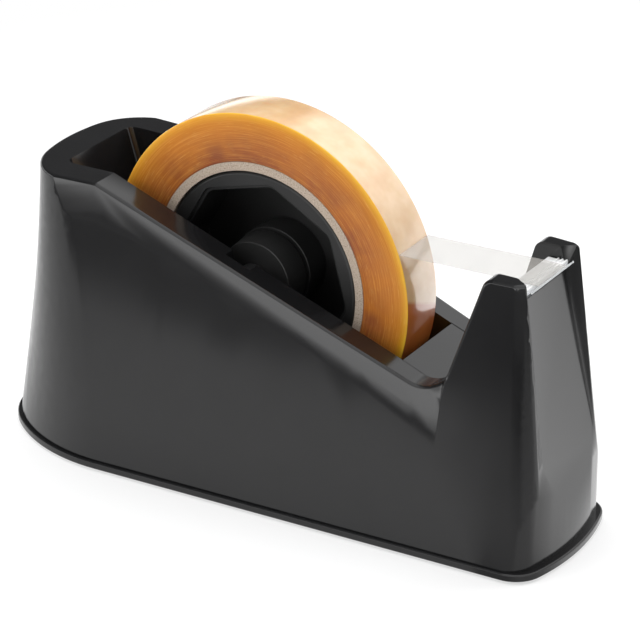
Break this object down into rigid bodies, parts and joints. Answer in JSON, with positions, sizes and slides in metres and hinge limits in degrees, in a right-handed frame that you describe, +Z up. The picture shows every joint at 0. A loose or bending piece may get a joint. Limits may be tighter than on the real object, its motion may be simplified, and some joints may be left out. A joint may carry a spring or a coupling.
{
  "type": "desk tape dispenser",
  "caption": "Weighted desktop tape dispenser: hollow moulded body with open saddles, a lift-out reel that turns on an axle, and a serrated blade between tall fins.",
  "frame": {"origin": "on the desk, under the middle of the base plate", "axes": "+X from the roll towards the blade, +Y to the far side, +Z up"},
  "size_m": [0.224, 0.076, 0.1342],
  "materials": {
    "black_plastic": "satin gloss",
    "drum_plastic": "satin",
    "foam": "matte",
    "iron": "rough",
    "zinc_steel": "plated",
    "axle_steel": "bright",
    "blade_steel": "bright",
    "bright_steel": "polished",
    "card": "matte",
    "amber_tape": "glossy",
    "clear_film": "clear"
  },
  "bodies": {
    "dispenser": {"nonslip_pad": "foam", "base_plate": "black_plastic", "base_screws": "zinc_steel", "ballast_plate": "iron", "ballast_block": "iron", "ballast_screws": "zinc_steel", "body_shell": "black_plastic", "blade_bridge": "black_plastic", "bridge_screws": "zinc_steel", "serrated_blade": "blade_steel", "blade_holder": "bright_steel"},
    "axle_carrier": {"axle_rod": "axle_steel", "axle_spacers": "drum_plastic", "tape_film": "clear_film"},
    "reel": {"reel_drum": "drum_plastic", "small_core_boss": "drum_plastic", "boss_cap": "drum_plastic", "tape_core": "card", "tape_roll": "amber_tape"}
  },
  "joints": [
    {"name": "reel_lift", "type": "slide", "parent": "dispenser", "child": "axle_carrier", "axis": [0, 0, 1], "range_m": [0, 0.09]},
    {"name": "reel_spin", "type": "hinge", "parent": "axle_carrier", "child": "reel", "pos_m": [-0.0075, 0, 0.076], "axis": [0, 1, 0], "continuous": true}
  ]
}
